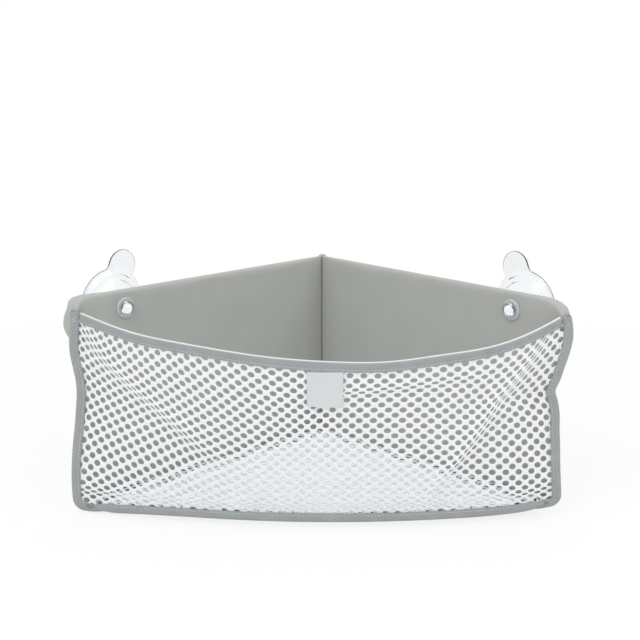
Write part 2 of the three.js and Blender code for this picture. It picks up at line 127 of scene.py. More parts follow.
# How use has settled the bag. Rows hold size, place and spread, pairs hold start and length of a ramp
settling = dict(
    leftSway=((1.5, 95, 18), (1.4, 25, 25)),  # the front corners sway outward, by height
    rightSway=((6.5, 168, 24), (-2.6, 113, 7), (1.8, 92, 13), (-2.4, 45, 30)), swayFrom=(100, 110),
    rimSlack=((3.6, -158, 48), (3.8, 150, 42), (1.7, 62, 38)),  # further sag of the rim
    slackFrom=(70, 80),
    rightSlump=2,  # the top of the right front corner has sunk a little
    slumpAcross=(60, 150), slumpUp=(30, 150),
    feet=((-4.9, -foldX, 60), (3.3, foldX, 35)),  # the left foot hangs lower, the right one is drawn up
    footHeight=70, fadeBehind=22,
)
clearance, netThickness, edgeHalf = bag["clearance"], bag["netThickness"], bag["edgeHalf"]
tapeWidth, seamY = bag["tapeWidth"], bag["seamY"]
rimSlot = netThickness + 2 * clearance  # room between the leaves of each tape
frontBaseSlot = 2 * netThickness + 3 * clearance
wallSlot = netThickness + 2 * edgeHalf + 3 * clearance
rearSlot = 4 * edgeHalf + 3 * clearance
halfSpan = foldX - tapeWidth
netSpan = halfSpan - bag["lipGap"]
netLow = tapeWidth + bag["lipGap"]
netLine = seamY - wallSlot / 2 + clearance + netThickness / 2
wallLine = seamY + wallSlot / 2 - clearance - edgeHalf


def seamIn(z):  # how far the corner seams are drawn in at a height
    start = bag["topLeanFrom"]
    return humps(z, bag["waist"]) + bag["topLean"] * ramp(z, start, bag["rimTop"] - start)


def rimHeight(xi):  # top - sag (1 - xi^2) (1 + skew xi)
    return bag["rimTop"] - bag["rimSag"] * (1 - np.minimum(xi * xi, 1)) * (1 + bag["rimSkew"] * xi)


def settle(points):
    # x + end sway(z), z - slump(x, z) + low feet(x), all fading behind the corner seams
    x, y, z = points.T
    front = 1 - ramp(y, seamY, settling["fadeBehind"])
    end = ramp(np.abs(x), *settling["swayFrom"]) * front
    sway = np.where(x < 0, -humps(z, settling["leftSway"]), humps(z, settling["rightSway"]))
    slump = settling["rightSlump"] * ramp(x, *settling["slumpAcross"]) * ramp(z, *settling["slumpUp"])
    slump = (slump + humps(x, settling["rimSlack"]) * ramp(z, *settling["slackFrom"])) * front
    low = (1 - ramp(z, 0, settling["footHeight"])) * front
    return columns(x + end * sway, y, z - slump + low * humps(x, settling["feet"]))


def linear(hexColour):  # sRGB hex to linear colour
    channel = np.array([int(hexColour[k : k + 2], 16) for k in (1, 3, 5)]) / 255
    bent = ((channel + 0.055) / 1.055) ** 2.4
    return (*np.where(channel <= 0.04045, channel / 12.92, bent), 1.0)


def nodesOf(owner):  # clears a new material or world, and gives the function that adds a node to it
    owner.use_nodes = True
    tree = owner.node_tree
    tree.nodes.clear()

    def add(kind, inputs=None, out=0, **settings):  # gives the socket that out names
        made = tree.nodes.new("ShaderNode" + kind)
        for key, value in settings.items():
            setattr(made, key, value)
        for key, value in (inputs or {}).items():
            if isinstance(value, bpy.types.NodeSocket):
                tree.links.new(value, made.inputs[key])
            else:
                made.inputs[key].default_value = value
        return made.outputs[out] if len(made.outputs) else None

    return add


def newMaterial(name):  # with its places on the flat cloth and on the object
    material = bpy.data.materials.new(name)
    add = nodesOf(material)
    return material, add, add("TexCoord", out="UV"), add("TexCoord", out="Object")


def surface(add, look, height, gloss, shade=None, paintedHighlight=None):
    # The shade runs from the first tone to the second, a painted highlight turns parts pale, the height
    # lifts the surface.
    # Sockets by number: a Mix has its colours at 6 and 7, a MapRange turns 1 to 2 into 3 to 4
    tones = [linear(tone) for tone in look["tones"]]
    colour = tones[0]
    if shade is not None:
        colour = add("Mix", {0: shade, 6: tones[0], 7: tones[1]}, 2, data_type="RGBA")
    if paintedHighlight is not None:
        colour = add("Mix", {0: paintedHighlight, 6: colour, 7: linear(look["paintedHighlight"])}, 2, data_type="RGBA")
    bump = add("Bump", {"Height": height, "Strength": look["lift"], "Distance": look["depth"] * mm})
    shader = add("BsdfPrincipled", {"Base Color": colour, "Normal": bump, **gloss})
    add("OutputMaterial", {"Surface": shader})


def bands(period):  # scale of a Wave texture whose bands lie this many millimetres apart
    return math.pi / 10 / (period * mm)


def grains(size):  # scale of a Noise or Voronoi texture with features of this many millimetres
    return 1 / (size * mm)


def wovenWallCloth():
    # Plain-woven polyester laminated to foam: matt, fine thread grid, soft nap that greys in the hollows
    cloth = dict(tones=("#a3a5a0", "#b7b9b5"), thread=1.1, cloud=30, lift=0.5, depth=0.12)
    material, add, uv, place = newMaterial("polyester_wall_cloth")
    threads = {"Vector": uv, "Scale": bands(cloth["thread"]), "Distortion": 0.7, "Detail": 1.0}
    warp, weft = (add("TexWave", threads, "Fac", bands_direction=way) for way in "XY")
    weave = add("Math", {0: warp, 1: weft}, operation="MULTIPLY")
    clouds = {"Vector": place, "Scale": grains(cloth["cloud"]), "Detail": 3.0}
    faint = add("MapRange", {0: add("TexNoise", clouds, "Fac"), 3: 0.3, 4: 0.7})
    shade = add("Math", {0: weave, 1: 0.45, 2: faint}, operation="MULTIPLY_ADD")
    gloss = {"Roughness": 0.88, "Sheen Weight": 0.25, "Sheen Roughness": 0.5}
    surface(add, cloth, weave, gloss, shade)
    return material


def ribbedTape():
    # Polyester binding tape, ribbed across: smoother than the walls, low satin sheen, a painted highlight
    # along the fold
    ribbon = dict(tones=("#8a8f91", "#9fa3a3"), paintedHighlight="#eff1ee", highlightShare=0.9, fold=(0.6, 1.8), rib=0.9,
                  blotch=14, lift=0.5, depth=0.1)
    material, add, uv, place = newMaterial("polyester_binding_tape")
    ribs = {"Vector": uv, "Scale": bands(ribbon["rib"]), "Distortion": 0.4}
    rib = add("TexWave", ribs, "Fac", bands_direction="X")
    blotches = {"Vector": place, "Scale": grains(ribbon["blotch"]), "Detail": 4.0}
    blotch = add("TexNoise", blotches, "Fac")
    shade = add("Math", {0: rib, 1: 0.3, 2: blotch}, operation="MULTIPLY_ADD")
    # painted highlight: a pale band beside each tape's fold, where the light catches the fold
    width = add("SeparateXYZ", {0: uv}, "Y")
    fromFold = add("Math", {0: width}, operation="ABSOLUTE")
    near, far = (edge * mm for edge in ribbon["fold"])
    paintedHighlight = add("MapRange", {0: fromFold, 1: near, 2: far, 3: ribbon["highlightShare"], 4: 0.0})
    gloss = {"Roughness": 0.62, "Sheen Weight": 0.3, "Sheen Roughness": 0.4}
    surface(add, ribbon, rib, gloss, shade, paintedHighlight)
    return material


def whiteKnitNet():
    # Warp-knitted polyester mesh: bright white yarn in small loops, soft and barely glossy
    yarn = dict(tones=("#dfe2e6", "#f6f7f9"), loop=1.3, lift=0.6, depth=0.14)
    material, add, uv, _ = newMaterial("polyester_knit_net")
    slant = add("Mapping", {"Vector": uv, "Rotation": (0, 0, math.radians(45))})
    rows = {"Vector": slant, "Scale": bands(yarn["loop"]), "Distortion": 1.0}
    one, two = (add("TexWave", rows, "Fac", bands_direction=way) for way in "XY")
    loops = add("Math", {0: one, 1: two}, operation="MAXIMUM")
    surface(add, yarn, loops, {"Roughness": 0.75, "Sheen Weight": 0.2}, loops)
    return material


def satinLabel():
    # Damask-woven polyester label: silver grey, fine weft lines, a dull satin gloss
    damask = dict(tones=("#c6cacc", "#d8dbdc"), weft=0.8, warp=1.6, lift=0.4, depth=0.08)
    material, add, uv, _ = newMaterial("woven_satin_label")
    wefts = {"Vector": uv, "Scale": bands(damask["weft"]), "Distortion": 0.3}
    warps = {"Vector": uv, "Scale": bands(damask["warp"]), "Distortion": 0.8}
    weft = add("TexWave", wefts, "Fac", bands_direction="Y")
    warp = add("TexWave", warps, "Fac", bands_direction="X")
    weave = add("Math", {0: warp, 1: 0.35, 2: weft}, operation="MULTIPLY_ADD")
    surface(add, damask, weave, {"Roughness": 0.42, "Sheen Weight": 0.2}, weave)
    return material


def clearVinyl():
    # Soft clear PVC, injection moulded: glass-clear with a faint haze and slightly uneven gloss
    vinyl = dict(tones=("#f5f8f9",), haze=18, glossy=0.07, dull=0.18, lift=0.06, depth=0.3)
    material, add, _, place = newMaterial("clear_soft_pvc")
    hazes = {"Vector": place, "Scale": grains(vinyl["haze"]), "Detail": 2.0}
    haze = add("TexNoise", hazes, "Fac")
    rough = add("MapRange", {0: haze, 3: vinyl["glossy"], 4: vinyl["dull"]})
    gloss = {"Roughness": rough, "IOR": 1.53, "Transmission Weight": 1.0}
    surface(add, vinyl, haze, gloss)
    return material


def mouldedNylon():
    # Moulded nylon eyelets: pale grey, smooth, with the faint grain of the tool
    nylon = dict(tones=("#bcc0c2", "#c9ccce"), grain=1.5, flow=9, gloss=(0.3, 0.5), lift=0.2, depth=0.05)
    material, add, _, place = newMaterial("moulded_nylon")
    specks = {"Vector": place, "Scale": grains(nylon["grain"]), "Detail": 2.0}
    flows = {"Vector": place, "Scale": grains(nylon["flow"]), "Detail": 1.0}
    grain, flow = (add("TexNoise", noise, "Fac") for noise in (specks, flows))
    rough = add("MapRange", {0: grain, 3: nylon["gloss"][0], 4: nylon["gloss"][1]})
    surface(add, nylon, grain, {"Roughness": rough, "IOR": 1.53}, flow)
    return material


def spunThread(name, dark, light):
    # Polyester sewing thread: two plies twisted, lighter than the tape in seams; the darker copy is partly
    # painted shade
    ply = dict(tones=(dark, light), twist=0.7, lift=0.6, depth=0.08)
    material, add, uv, _ = newMaterial(name)
    plies = {"Vector": uv, "Scale": bands(ply["twist"])}
    twist = add("TexWave", plies, "Fac", bands_direction="DIAGONAL")
    surface(add, ply, twist, {"Roughness": 0.6, "Sheen Weight": 0.2}, twist)
    return material


def cellFoam():
    # Closed-cell polyethylene foam board inside the walls: off-white, pitted with small cells
    foam = dict(tones=("#dedcd6", "#c9c7c0"), cell=1.4, lift=0.5, depth=0.3)
    material, add, _, place = newMaterial("polyethylene_foam")
    cell = add("TexVoronoi", {"Vector": place, "Scale": grains(foam["cell"])}, "Distance")
    surface(add, foam, cell, {"Roughness": 0.9}, cell)
    return material


# Material of each slot, and of the threads and boards, which have no slot of their own here
materials = {
    "wall_cloth": wovenWallCloth(),
    "binding_tape": ribbedTape(),
    "white_net": whiteKnitNet(),
    "woven_label": satinLabel(),
    "clear_vinyl": clearVinyl(),
    "eyelet_plastic": mouldedNylon(),
    "seam_thread": spunThread("polyester_thread", "#b4b8ba", "#d3d6d7"),
    # the dark thread is partly painted shade: it stands for the shadows at the base tape's ends and in the
    # puckered tacks
    "tack_thread_painted_shade": spunThread("dark_thread_painted_shade", "#6c7072", "#8e9294"),
    "foam_board": cellFoam(),
}
print("materials made")


def addPiece(name, points, quads, uv, material, node=None, body="bag"):
    # The sum of a . (b x c + c x d) over a closed surface's quads is positive when its faces point out
    points, uv = points.reshape(-1, 3), uv.reshape(-1, 2)
    if body == "bag":
        points = settle(points)
    a, b, c, d = (points[quads[:, k]] for k in range(4))
    if (a * (np.cross(b, c) + np.cross(c, d))).sum() < 0:
        quads = quads[:, ::-1]
    mesh = bpy.data.meshes.new(name)
    mesh.from_pydata((points * mm).tolist(), [], quads.tolist())
    layer = mesh.uv_layers.new(name="cloth_map")
    layer.data.foreach_set("uv", (uv[quads] * mm).astype(np.float32).ravel())
    work = bmesh.new()
    work.from_mesh(mesh)
    bmesh.ops.remove_doubles(work, verts=work.verts, dist=1e-6)  # closes poles and seams
    work.to_mesh(mesh)
    work.free()
    mesh.shade_smooth()
    mesh.set_sharp_from_angle(angle=math.radians(60))  # moulded edges stay crisp
    mesh.materials.append(materials[material])
    piece = bpy.data.objects.new(name, mesh)
    scene.collection.objects.link(piece)
    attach(piece, body)
    if node:  # a piece that stands for a solid hides that solid
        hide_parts(node)
    return piece


def ringQuads(stations, ring):  # quads between neighbouring closed rings
    row = np.arange(stations - 1)[:, None] * ring
    here = np.arange(ring)
    after = (here + 1) % ring
    return columns(row + here, row + after, row + after + ring, row + here + ring).reshape(-1, 4)


def loftQuads(stations, ring):  # the same with a strip across each end ring
    half = np.arange(ring // 2 - 1)
    cap = columns(half, half + 1, ring - 2 - half, ring - 1 - half)
    return join(ringQuads(stations, ring), cap[:, ::-1], cap + (stations - 1) * ring)


# Front net. Its cloth is a rectangle of millimetres across and up, laid over the bag's curved front
frontNet = dict(
    pitch=11.3,  # between holes in a row; the next row is half a row pitch up and half a pitch aside
    rowPitch=9.6, holeWide=5.7, holeTall=4.8,
    turns=(  # past a start the rows turn, the columns lean, and the holes stand wider apart or lower
        dict(rows=11, columns=0, wider=0.04, lower=0, start=-15, ramp=80),
        dict(rows=-7, columns=4, wider=0.02, lower=0.07, start=-110, ramp=90),
        dict(rows=9, columns=5, wider=0.08, lower=0, start=10, ramp=150),
    ),
    turnLevel=70,
    waverAcross=((0.9, 1 / 37, 1 / 23, 0), (0.6, 1 / 19, -1 / 31, 0)),  # size, rate across and up, phase
    waverUp=((0.9, 1 / 41, 0, 1.3), (0.5, 1 / 17, 1 / 29, 0)),
    folds=(
        dict(start=(221, 162), end=(97, 22), gather=(13, 6.5), width=(19, 8.6), ridge=4.5),
        dict(start=(-232, 150), end=(-86, 58), gather=(6.5, 5.5), width=(12, 8), ridge=3.5),
        dict(start=(-330, 8), end=(330, 8), gather=(5.5, 5.5), width=(8.5, 8.5), ridge=2),
        dict(start=(0, 128), end=(160, 140), gather=(4, 3), width=(7, 7), ridge=1.5),
    ),
    foldStart=(-0.06, 0.15),  # a fold grows over this share of its length
    foldEnd=(-1.12, 0.4),  # and dies away over this one, counted back from past its end
    foldReach=55, edgeFade=26,
    tuck=6.5,  # net hidden inside a tape
    spare=60,  # rows and columns beyond the edges, for the gathers to draw in
    spareLow=80, cornerClear=-2,
)
knit = dict(points=12, flare=1.18, shoulder=0.42, step=0.5)  # points round a hole, rounding of its strand
climbSteps = np.linspace(0, 1, 41)


def netBulge(v):  # reach of the net ahead of the corner seams, from base to rim
    return mix(bag["baseBulge"], bag["rimBulge"], v) + 4 * bag["belly"] * v * (1 - v)


def netClimb(xi):  # rise of each upright line of the net, and its length at even shares of that
    rise = rimHeight(xi) - 2 * netLow
    lean = bag["rimBulge"] - bag["baseBulge"] + 4 * bag["belly"] * (1 - 2 * climbSteps)
    speed = np.hypot(rise[:, None], lean * (1 - xi**2)[:, None])
    walked = np.cumsum((speed[:, 1:] + speed[:, :-1]) / 2, axis=1) / (len(climbSteps) - 1)
    return rise, join(np.zeros((len(xi), 1)), walked, axis=1)


netTall = float(netClimb(np.zeros(1))[1][0, -1])


def archLength(xi, bulge):  # length of the parabola bulge xi^2 from its middle to xi, and its rate there
    bend = 2 * bulge / halfSpan
    slope = np.sqrt(1 + (bend * xi) ** 2)
    return halfSpan / 2 * (xi * slope + np.arcsinh(bend * xi) / bend), halfSpan * slope


def tucked(excess):  # cloth past a tape's lips, kept inside the tape
    excess = np.maximum(excess, 0)
    return frontNet["tuck"] * np.tanh(excess / frontNet["tuck"])


def netPoint(across, up):
    # z = low + v rise, y = line - bulge(v) (1 - xi^2), x = xi (half span - seam), where xi and v follow
    # the cloth's own lengths; past the edges the cloth runs straight on into the tapes
    share = np.clip(up / netTall, 0, 1)
    xi = across / halfSpan
    for _ in range(6):  # Newton steps
        length, slope = archLength(xi, netBulge(share))
        xi = xi - (length - across) / slope
    edge = archLength(1.0, netBulge(share))[0]
    xi = np.clip(xi, -1, 1)
    rise, reach = netClimb(xi)
    wanted = share * reach[:, -1]
    k = np.clip((reach < wanted[:, None]).sum(1), 1, len(climbSteps) - 1)
    rows = np.arange(len(k))
    before = reach[rows, k - 1]
    v = (k - 1 + (wanted - before) / (reach[rows, k] - before)) / (len(climbSteps) - 1)
    z = netLow + v * rise - tucked(-up) + tucked(up - netTall)
    x = xi * (netSpan - seamIn(z)) + np.sign(across) * tucked(np.abs(across) - edge)
    return columns(x, netLine - netBulge(v) * (1 - xi**2), z)


def turnedCloth(across, up):  # the tilt of a turn grows as smooth(t) along its ramp
    shiftAcross, shiftUp = np.zeros_like(across), np.zeros_like(across)
    for turn in frontNet["turns"]:
        way = math.copysign(1, turn["start"])
        t = np.maximum((across - turn["start"]) * way / turn["ramp"], 0)
        climb = np.where(t < 1, t**3 - t**4 / 2, t - 0.5) * turn["ramp"]  # smooth(t), summed along the ramp
        shiftUp = shiftUp - way * math.tan(math.radians(turn["rows"])) * climb
        shiftUp = shiftUp - turn["lower"] * smooth(t) * (up - frontNet["turnLevel"])
        lean = math.tan(math.radians(turn["columns"])) * smooth(t)
        shiftAcross = shiftAcross + lean * (up - frontNet["turnLevel"]) + way * turn["wider"] * climb
    return across + shiftAcross, up + shiftUp


def waver(across, up, rows):  # uneven knit, the sum of size sin(a across + b up + phase)
    return sum(size * np.sin(a * across + b * up + phase) for size, a, b, phase in rows)


def gathered(across, up):
    # Each fold draws the cloth to its line by gather tanh(d / width) and stands proud as a rounded ridge
    across, up = turnedCloth(across, up)
    moveAcross = waver(across, up, frontNet["waverAcross"])
    moveUp = waver(across, up, frontNet["waverUp"])
    proud = np.zeros_like(across)
    for fold in frontNet["folds"]:
        start = np.array(fold["start"])
        run = np.array(fold["end"]) - start
        length = np.linalg.norm(run)
        run = run / length
        t = ((across - start[0]) * run[0] + (up - start[1]) * run[1]) / length
        aside = (up - start[1]) * run[0] - (across - start[0]) * run[1]
        hold = ramp(t, *frontNet["foldStart"]) * ramp(-t, *frontNet["foldEnd"])
        width = mix(*fold["width"], np.clip(t, 0, 1))
        pull = mix(*fold["gather"], np.clip(t, 0, 1)) * np.tanh(aside / width)
        pull = pull * hump(aside / frontNet["foldReach"]) * hold
        moveAcross = moveAcross + pull * run[1]
        moveUp = moveUp - pull * run[0]
        proud = proud + fold["ridge"] * hold * hump(aside / width)
    return across + moveAcross, up + moveUp, proud


def edgeDistances(across, up):  # from the lips of the tapes, nearest first, negative inside a tape
    half = archLength(1.0, netBulge(np.clip(up / netTall, 0, 1)))[0]
    return np.sort([half - np.abs(across), up, netTall - up], axis=0)


def netPlace(across, up):
    across, up, proud = gathered(across, up)
    points = netPoint(across, up)
    points[:, 1] -= proud * smooth(edgeDistances(across, up)[0] / frontNet["edgeFade"])
    return points


def diamondCentres(holes, half, low, high):  # every other row of holes lies half a pitch aside
    pitch, rise = holes["pitch"], holes["rowPitch"] / 2
    row = np.arange(math.floor(low / rise), math.ceil(high / rise) + 1)[:, None]
    column = np.arange(math.floor(-half / pitch), math.ceil(half / pitch) + 1)
    return columns((column + (row % 2) / 2) * pitch, row * rise).reshape(-1, 2)


def meshCells(name, centres, gaps, place, holes, node):
    # A cell is a diamond with an oval hole: five rings go from the diamond's edge on one face, over the
    # rounded strand, through the hole and out to the edge on the other face
    centres = centres[(gaps[0] > -holes["pitch"] / 2) & (gaps[1] > holes["cornerClear"])]
    turn = np.arange(knit["points"]) * math.tau / knit["points"]
    ray = columns(np.cos(turn), np.sin(turn))
    edge = ray * np.array([holes["pitch"], holes["rowPitch"]]) / 2 / np.abs(ray).sum(1, keepdims=True)
    hole = ray * np.array([holes["holeWide"], holes["holeTall"]]) / 2
    rings = np.stack([edge, hole * knit["flare"], hole, hole * knit["flare"], edge])
    height = netThickness * np.array([0.5, knit["shoulder"], 0, -knit["shoulder"], -0.5])
    flat = centres[:, None, None, :] + rings
    cells = join(flat, np.broadcast_to(height[None, :, None, None], flat.shape[:3] + (1,)), axis=-1)
    corners, index = np.unique(np.round(cells.reshape(-1, 3), 3), axis=0, return_inverse=True)
    index = index.reshape(flat.shape[:3])
    after = np.roll(index, -1, axis=2)
    sides = columns(index[:, :-1], after[:, :-1], after[:, 1:], index[:, 1:]).reshape(-1, 4)
    front, back = (columns(index[:, k], after[:, k]).reshape(-1, 2) for k in (0, -1))
    _, which, uses = np.unique(np.sort(front, axis=1), axis=0, return_inverse=True, return_counts=True)
    cut = uses[which.ravel()] == 1  # strands on the outline of the piece
    walls = columns(front[cut, 1], front[cut, 0], back[cut, 0], back[cut, 1])
    across, up = corners[:, 0], corners[:, 1]
    run = place(across + knit["step"], up) - place(across - knit["step"], up)
    climb = place(across, up + knit["step"]) - place(across, up - knit["step"])
    points = place(across, up) + unit(np.cross(run, climb)) * corners[:, 2:]
    print(name + ":", len(centres), "holes")
    return addPiece(name, points, join(sides, walls), corners[:, :2], "white_net", node)


netHalf = float(archLength(1.0, netBulge(0.5))[0])
widest = netHalf + frontNet["spare"]
centres = diamondCentres(frontNet, widest, -frontNet["spareLow"], netTall + frontNet["spare"])
gaps = edgeDistances(*gathered(*centres.T)[:2])
netFront = meshCells("front_net_mesh", centres, gaps, netPlace, frontNet, "front_net")

# Left wall. Its plan has a front edge, bend, straight run, bend and rear edge. Pairs are ramps, as above
wall = dict(
    bendRadius=12, rearTurn=2.2,
    sewnStations=4,  # along each sewn edge, each bend and the straight run
    bendStations=10, runStations=72, padHalf=3.35, padRamp=22, footRamp=12, cloth=0.8, fill=0.75,
    crown=0.7,  # swell of the pad at half height
    wrinkle=0.3, wrinkleReach=(13, 27, 19, 33),
    footLevels=(0, 0.16, 9), upperLevels=(0.2, 1, 34),  # rows of points up a wall: from, to, count
    topStep=15,  # degrees between rows of points over the round top
    clothStation=40,  # on the straight run, where the width of the cloth is measured
    eyeletFlat=(10, 14),  # no swell under the eyelet plates
    cornerDip=bag["wallTop"] - bag["rimTop"] + 1.2,  # fall of the top to the end of the corner tape
    dipPower=dict(left=2.6, right=1.7),  # the left end keeps its height nearer to the tape
    rollLength=34,  # the padded front end swells out behind the corner tape
    rollOut=((-15.5, 2.4), (-30.5, 9.4)),  # bends of the roll, from where the wall leaves its tape
    rollEase=4,
    rollShare=dict(left=1.1, right=0.86),
    rollFrom=(130, 36), rollTop=(170, 19),
    rollTopLoss=dict(left=0.2, right=0.12),
    crestShare=0.8,  # how far the crest and the inner face follow the roll
    innerShare=0.55,
    innerFrom=(155, 30),  # the inner face follows only near its top
    baseTapeInset=16,
)
along = np.array([1, 1]) / math.sqrt(2)
outward = np.array([-1, 1]) / math.sqrt(2)
bendTangent = wall["bendRadius"] * math.tan(math.pi / 8)
frontBend = np.array([-halfSpan + bendTangent + clearance, wallLine])
rearX = -(edgeHalf + clearance / 2)
straightRun = (rearX - frontBend[0]) / along[0]
rearBend = frontBend + along * straightRun
rearLip = rearBend[1] + bendTangent + clearance
tapeReach = tapeWidth - bag["seamFoot"]
cupJoints = {joint["child"]: joint for joint in frame["joints"]}
cupCentre = np.array(cupJoints["left_cup"]["pos_m"]) / mm


def onWall(distance, out=0.0):  # plan point on the left wall, from its front bend and its middle plane
    return frontBend + np.multiply.outer(distance, along) + np.multiply.outer(out, outward)


def bezier(corners, t):  # curve through the first and last corner, drawn towards the others
    corners = np.array(corners, float)
    order = len(corners) - 1
    weight = [math.comb(order, k) * (1 - t) ** (order - k) * t**k for k in range(order + 1)]
    return sum(w[:, None] * corner for w, corner in zip(weight, corners))


def wallShell(hand, mirror):
    bend = np.linspace(0, 1, wall["bendStations"])
    sewn = wall["sewnStations"]
    ahead, rearward = np.array([1, 0]), np.array([0, 1])
    turn = wall["rearTurn"]
    run = np.linspace(bendTangent, straightRun - turn, wall["runStations"])
    bendStart = frontBend - ahead * bendTangent
    plan = join(
        np.linspace([-halfSpan - tapeReach, wallLine], bendStart, sewn, endpoint=False),
        bezier([bendStart, frontBend, frontBend + along * bendTangent], bend),
        onWall(run[1:-1]),
        bezier([rearBend - along * turn, rearBend, rearBend + rearward * turn], bend),
        np.linspace([rearX, rearLip], [rearX, rearLip + tapeReach], sewn),
    )
    reach = pathReach(plan)
    plain = reach[sewn]
    bent = reach[sewn + len(bend) - 1] - plain
    fullness = ramp(np.minimum(reach, reach[-1] - reach), plain, bent + wall["padRamp"])
    pull = 1 - ramp(reach, plain, bent + wall["padRamp"])
    heading = unit(np.gradient(plan, axis=0))
    aside = columns(-heading[:, 1], heading[:, 0])
    top = mix(edgeHalf, wall["padHalf"], fullness)[:, None]
    crest = bag["wallTop"] - wall["cornerDip"] * pull[:, None] ** wall["dipPower"][hand]
    spring = crest - top  # where the round top begins
    levels = join(np.linspace(*wall["footLevels"]), np.linspace(*wall["upperLevels"]))
    rounding = bag["cornerTurn"] - bag["seamFoot"]
    low = bag["seamFoot"] + rounding - np.sqrt(rounding**2 - np.maximum(rounding - reach, 0) ** 2)[:, None]
    z = low + levels * (spring - low)
    foot = tapeWidth + clearance
    half = mix(edgeHalf, top, ramp(z, foot, wall["footRamp"]))
    bow = np.radians(np.arange(wall["topStep"], 90, wall["topStep"]))
    t = (reach - plain) / wall["rollLength"]
    drawnIn = seamIn(bag["rimTop"])
    begin = plan[sewn] + [drawnIn, edgeHalf]
    end = onWall(wall["rollLength"] - bent + bendTangent, wall["padHalf"])
    eased = end - along * wall["padHalf"] * wall["rollEase"]
    rollCurve = bezier([begin, *(begin + out for out in wall["rollOut"]), eased, end], np.clip(t, 0, 1))
    outerFace = plan + aside * top + columns(pull * drawnIn, 0 * pull)
    roll = np.where(((t > 0) & (t < 1))[:, None], rollCurve - outerFace, 0) * wall["rollShare"][hand]

    def swell(face):  # crown of the pad and slack in its cloth
        s = reach[:, None]
        slack = wall["crown"] * np.sin(math.pi * np.clip((z - foot) / (bag["wallTop"] - foot), 0, 1))
        a, b, c, d = wall["wrinkleReach"]
        wrinkle = 1 + np.sin(s / a + face * z / b) * np.sin(z / c - face * s / d)
        slack = slack + wall["wrinkle"] * wrinkle
        fromEyelet = np.hypot(plan[:, :1] - cupCentre[0], z - cupCentre[2])
        return face * slack * fullness[:, None] * ramp(fromEyelet, *wall["eyeletFlat"])

    def arch(skin):  # up the outer face, over the top and down the inner face
        rise = join(z, spring + (top - skin) * np.sin(bow), axis=1)
        out = join(half - skin, (top - skin) * np.cos(bow), axis=1)
        still = np.zeros((len(plan), len(bow)))
        outer = out + join(swell(1), still, axis=1)
        inner = -out + join(swell(-1), still, axis=1)
        lateral = join(outer, 0 * crest, inner[:, ::-1], axis=1)
        height = join(rise, crest - skin, rise[:, ::-1], axis=1)
        xy = plan[:, None, :] + aside[:, None, :] * lateral[:, :, None]
        xy[:, :, 0] += pull[:, None] * seamIn(height)
        outerLean = mix(wall["crestShare"], 1, np.cos(bow))
        innerLean = mix(wall["crestShare"], wall["innerShare"], np.cos(bow))[::-1]
        face = np.ones(len(levels))
        lean = join(face, outerLean, [wall["crestShare"]], innerLean, face * wall["innerShare"])
        inside = np.arange(len(lean)) > rise.shape[1]
        lean = lean * np.where(inside, ramp(height, *wall["innerFrom"]), 1)
        lean = lean * ramp(height, *wall["rollFrom"])
        lean = lean * (1 - wall["rollTopLoss"][hand] * ramp(height, *wall["rollTop"]))
        xy = xy + roll[:, None, :] * lean[:, :, None]
        return join(xy, height[:, :, None], axis=-1)

    skins = join(arch(0), arch(wall["cloth"])[:, ::-1], axis=1)
    stations, ring = skins.shape[:2]
    around = thereAndBack(pathReach(skins[wall["clothStation"], : ring // 2]))
    piece = addPiece(hand + "_padded_wall", skins * [mirror, 1, 1], loftQuads(stations, ring),
                     columns(reach[:, None], around), "wall_cloth", hand + "_wall_cover")
    return piece


leftWall = wallShell("left", 1)
rightWall = wallShell("right", -1)
for board in ("left_wall_stiffener", "right_wall_stiffener"):
    frame["nodes"][board].data.materials.clear()
    frame["nodes"][board].data.materials.append(materials["foam_board"])
print("padded walls made")


# Folded tapes: a fold line, the way across the seam and the way from the fold to the lips
tape = dict(
    step=1.6,
    samples=400,  # along a curved fold before its even steps, and along a straight one
    plainSamples=60, leafPoints=8, foldPoints=9,
    bow=0.3,  # swell of the outer leaf
    bowPower=0.7, puff=0.22,
    roll=0.18,  # slow waver of the lips
    rollReach=9.0, pucker=0.16, puckerWidth=1.3, stitchInset=1.8,
)
thread = dict(
    pitch=3.3, length=2.5, radius=0.3,
    along=(-0.5, -0.36, 0, 0.36, 0.5),  # shape of a stitch
    girth=(0.35, 0.9, 1.0, 0.9, 0.35), arch=(-0.25, 0.1, 0.22, 0.1, -0.25), sides=6,
    proud=0.1,  # off the face of the tape
    tackProud=0.2, tackLength=4.6,
)


def evenly(points, across, inward):  # the same tape with even steps
    reach = pathReach(points)
    at = np.linspace(0, reach[-1], max(3, round(reach[-1] / tape["step"]) + 1))
    ways = [np.broadcast_to(way, points.shape) for way in (across, inward)]
    across, inward = (unit(resample(reach, way, at)) for way in ways)
    return dict(fold=resample(reach, points, at), across=across, inward=inward)


def mirrored(path):
    return {key: value * [-1, 1, 1] for key, value in path.items()}


def tapeRing(slot):  # two leaves joined by a round fold: out along the outer face, back along the inner one
    half = slot / 2 + bag["tapeThickness"]
    leaf = np.linspace(tapeWidth, half, tape["leafPoints"])
    turn = np.linspace(0, math.pi, tape["foldPoints"] + 2)[1:-1]
    flat = np.ones(len(leaf))

    def face(radius):
        across = join(flat, np.cos(turn), -flat) * radius
        inward = join(leaf, half - radius * np.sin(turn), leaf[::-1])
        return columns(across, inward)

    return join(face(half), face(slot / 2)[::-1])


def stitchRow(path, slot, face, start, end):  # centre, heading and face of each stitch beside the lips
    line = path["fold"] + path["inward"] * (tapeWidth - tape["stitchInset"])
    line = line + path["across"] * face * (slot / 2 + bag["tapeThickness"] + thread["proud"])
    reach = pathReach(line)
    count = int((reach[-1] - start - end) // thread["pitch"])
    at = start + (np.arange(count) + 0.5) * thread["pitch"]
    heading = unit(resample(reach, np.gradient(line, axis=0), at))
    return resample(reach, line, at), heading, unit(resample(reach, path["across"] * face, at))


